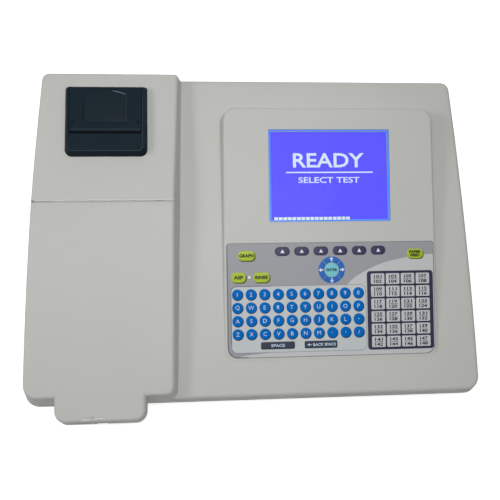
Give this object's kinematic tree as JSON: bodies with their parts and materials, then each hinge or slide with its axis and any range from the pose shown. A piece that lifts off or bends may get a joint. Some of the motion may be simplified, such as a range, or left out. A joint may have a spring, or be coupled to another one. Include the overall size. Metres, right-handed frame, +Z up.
{
  "type": "benchtop chemistry analyzer",
  "caption": "Wedge-shaped benchtop chemistry analyzer with a raised display and keypad, a panel printer, and a hinged lid over a sample bay with pump and flow cell.",
  "frame": {"origin": "on the bench, under the centre of the instrument's bounding box", "axes": "+Z up, +X to the operator's right, -Y towards the operator; the width along X is the longest extent and the height along Z the shortest"},
  "size_m": [0.453, 0.3394, 0.1362],
  "materials": {
    "housing": "fine satin texture",
    "housing_base": "fine satin texture",
    "rubber": "matt",
    "screw": "zinc plated",
    "steel": "polished",
    "bay_plastic": "satin",
    "dark_plastic": "satin",
    "white_plastic": "satin",
    "motor": "satin black",
    "tubing": "translucent silicone",
    "anodised": "black anodised",
    "filter_glass": "coated",
    "sheet_steel": "zinc plated",
    "lamp_glass": "clear",
    "board": "solder mask",
    "printer_plastic": "fine satin texture",
    "smoky_window": "smoky, glossy",
    "paper": "paper",
    "lens": "clear",
    "screen_blue": "lit",
    "overlay_grey": "fine velvet print",
    "key_blue": "embossed",
    "key_white": "embossed",
    "key_cyan": "embossed",
    "key_green": "embossed",
    "key_dark": "embossed",
    "key_navy": "embossed",
    "ring_blue": "embossed",
    "rocker_black": "gloss"
  },
  "bodies": {
    "case": {"upper_shell": "housing", "base_tray": "housing_base", "rubber_feet": "rubber", "case_screws": "screw", "lid_hinge_pin": "steel", "sample_bay": "bay_plastic", "pump_housing": "dark_plastic", "pump_motor": "motor", "sample_tubing": "tubing", "sipper_probe": "steel", "optics_bench": "anodised", "flow_cell": "anodised", "filter_motor": "motor", "lamp_housing": "sheet_steel", "halogen_lamp": "lamp_glass", "detector_board": "board", "printer_frame": "printer_plastic", "display_lens": "lens", "display_module": "sheet_steel", "display_screen": "screen_blue", "keypad_overlay": "overlay_grey", "keypad_board": "board", "letter_keys": "key_blue", "test_keys": "key_white", "rear_plate": "sheet_steel", "mains_inlet": "dark_plastic", "fan_frame": "dark_plastic", "data_port": "steel", "waste_nozzle": "white_plastic", "main_board": "board", "power_supply": "sheet_steel"},
    "lid": {"sample_lid": "housing"},
    "printer_door": {"printer_door": "printer_plastic", "printer_window": "smoky_window"},
    "platen": {"platen_roller": "rubber"},
    "paper": {"paper_roll": "paper"},
    "filter_wheel": {"filter_wheel": "anodised", "interference_filters": "filter_glass"},
    "pump_rotor": {"pump_rotor": "white_plastic", "pump_rollers": "steel"},
    "clamp": {"pump_clamp": "dark_plastic"},
    "fan": {"fan_rotor": "dark_plastic"},
    "rocker": {"power_rocker": "rocker_black"},
    "enter_key": {"enter_key": "key_cyan"},
    "graph_key": {"graph_key": "key_green"},
    "aspirate_key": {"aspirate_key": "key_green"},
    "rinse_key": {"rinse_key": "key_green"},
    "feed_key": {"feed_key": "key_green"},
    "space_key": {"space_key": "key_dark"},
    "backspace_key": {"backspace_key": "key_dark"},
    "soft_key_1": {"soft_key_1": "key_navy"},
    "soft_key_2": {"soft_key_2": "key_navy"},
    "soft_key_3": {"soft_key_3": "key_navy"},
    "soft_key_4": {"soft_key_4": "key_navy"},
    "soft_key_5": {"soft_key_5": "key_navy"},
    "soft_key_6": {"soft_key_6": "key_navy"},
    "right_key": {"right_key": "ring_blue"},
    "up_key": {"up_key": "ring_blue"},
    "left_key": {"left_key": "ring_blue"},
    "down_key": {"down_key": "ring_blue"}
  },
  "joints": [
    {"name": "lid_hinge", "type": "hinge", "parent": "case", "child": "lid", "pos_m": [-0.1504, 0.02584, 0.10025], "axis": [-1, 0, 0], "range_deg": [0, 100]},
    {"name": "printer_door_hinge", "type": "hinge", "parent": "case", "child": "printer_door", "pos_m": [-0.14365, 0.13301, 0.13369], "axis": [-1, 0, 0], "range_deg": [0, 92]},
    {"name": "platen_spin", "type": "hinge", "parent": "printer_door", "child": "platen", "pos_m": [-0.14365, 0.09918, 0.11606], "axis": [1, 0, 0], "continuous": true},
    {"name": "paper_spin", "type": "hinge", "parent": "case", "child": "paper", "pos_m": [-0.14365, 0.12168, 0.10097], "axis": [1, 0, 0], "continuous": true},
    {"name": "filter_wheel_spin", "type": "hinge", "parent": "case", "child": "filter_wheel", "pos_m": [-0.1485, 0.0404, 0.057], "axis": [0, 1, 0], "continuous": true},
    {"name": "pump_spin", "type": "hinge", "parent": "case", "child": "pump_rotor", "pos_m": [-0.1485, -0.05487, 0.04273], "axis": [0, -0.2756, 0.9613], "continuous": true},
    {"name": "clamp_swing", "type": "hinge", "parent": "case", "child": "clamp", "pos_m": [-0.1275, -0.03756, 0.04769], "axis": [0, 0.2756, -0.9613], "range_deg": [0, 80]},
    {"name": "fan_spin", "type": "hinge", "parent": "case", "child": "fan", "pos_m": [0.0835, 0.16289, 0.048], "axis": [0, 0.9903, 0.1392], "continuous": true},
    {"name": "rocker_tilt", "type": "hinge", "parent": "case", "child": "rocker", "pos_m": [0.1255, 0.16289, 0.048], "axis": [1, 0, 0], "range_deg": [0, 14]},
    {"name": "enter_key_press", "type": "slide", "parent": "case", "child": "enter_key", "axis": [0, 0.342, -0.9397], "range_m": [0, 0.0004], "stiffness_N_per_m": 2000, "springref_m": -0.0003},
    {"name": "graph_key_press", "type": "slide", "parent": "case", "child": "graph_key", "axis": [0, 0.342, -0.9397], "range_m": [0, 0.0004], "stiffness_N_per_m": 2000, "springref_m": -0.0003},
    {"name": "aspirate_key_press", "type": "slide", "parent": "case", "child": "aspirate_key", "axis": [0, 0.342, -0.9397], "range_m": [0, 0.0004], "stiffness_N_per_m": 2000, "springref_m": -0.0003},
    {"name": "rinse_key_press", "type": "slide", "parent": "case", "child": "rinse_key", "axis": [0, 0.342, -0.9397], "range_m": [0, 0.0004], "stiffness_N_per_m": 2000, "springref_m": -0.0003},
    {"name": "feed_key_press", "type": "slide", "parent": "case", "child": "feed_key", "axis": [0, 0.342, -0.9397], "range_m": [0, 0.0004], "stiffness_N_per_m": 2000, "springref_m": -0.0003},
    {"name": "space_key_press", "type": "slide", "parent": "case", "child": "space_key", "axis": [0, 0.342, -0.9397], "range_m": [0, 0.0004], "stiffness_N_per_m": 2000, "springref_m": -0.0003},
    {"name": "backspace_key_press", "type": "slide", "parent": "case", "child": "backspace_key", "axis": [0, 0.342, -0.9397], "range_m": [0, 0.0004], "stiffness_N_per_m": 2000, "springref_m": -0.0003},
    {"name": "soft_key_1_press", "type": "slide", "parent": "case", "child": "soft_key_1", "axis": [0, 0.342, -0.9397], "range_m": [0, 0.0004], "stiffness_N_per_m": 2000, "springref_m": -0.0003},
    {"name": "soft_key_2_press", "type": "slide", "parent": "case", "child": "soft_key_2", "axis": [0, 0.342, -0.9397], "range_m": [0, 0.0004], "stiffness_N_per_m": 2000, "springref_m": -0.0003},
    {"name": "soft_key_3_press", "type": "slide", "parent": "case", "child": "soft_key_3", "axis": [0, 0.342, -0.9397], "range_m": [0, 0.0004], "stiffness_N_per_m": 2000, "springref_m": -0.0003},
    {"name": "soft_key_4_press", "type": "slide", "parent": "case", "child": "soft_key_4", "axis": [0, 0.342, -0.9397], "range_m": [0, 0.0004], "stiffness_N_per_m": 2000, "springref_m": -0.0003},
    {"name": "soft_key_5_press", "type": "slide", "parent": "case", "child": "soft_key_5", "axis": [0, 0.342, -0.9397], "range_m": [0, 0.0004], "stiffness_N_per_m": 2000, "springref_m": -0.0003},
    {"name": "soft_key_6_press", "type": "slide", "parent": "case", "child": "soft_key_6", "axis": [0, 0.342, -0.9397], "range_m": [0, 0.0004], "stiffness_N_per_m": 2000, "springref_m": -0.0003},
    {"name": "right_key_press", "type": "slide", "parent": "case", "child": "right_key", "axis": [0, 0.342, -0.9397], "range_m": [0, 0.0004], "stiffness_N_per_m": 2000, "springref_m": -0.0003},
    {"name": "up_key_press", "type": "slide", "parent": "case", "child": "up_key", "axis": [0, 0.342, -0.9397], "range_m": [0, 0.0004], "stiffness_N_per_m": 2000, "springref_m": -0.0003},
    {"name": "left_key_press", "type": "slide", "parent": "case", "child": "left_key", "axis": [0, 0.342, -0.9397], "range_m": [0, 0.0004], "stiffness_N_per_m": 2000, "springref_m": -0.0003},
    {"name": "down_key_press", "type": "slide", "parent": "case", "child": "down_key", "axis": [0, 0.342, -0.9397], "range_m": [0, 0.0004], "stiffness_N_per_m": 2000, "springref_m": -0.0003}
  ]
}
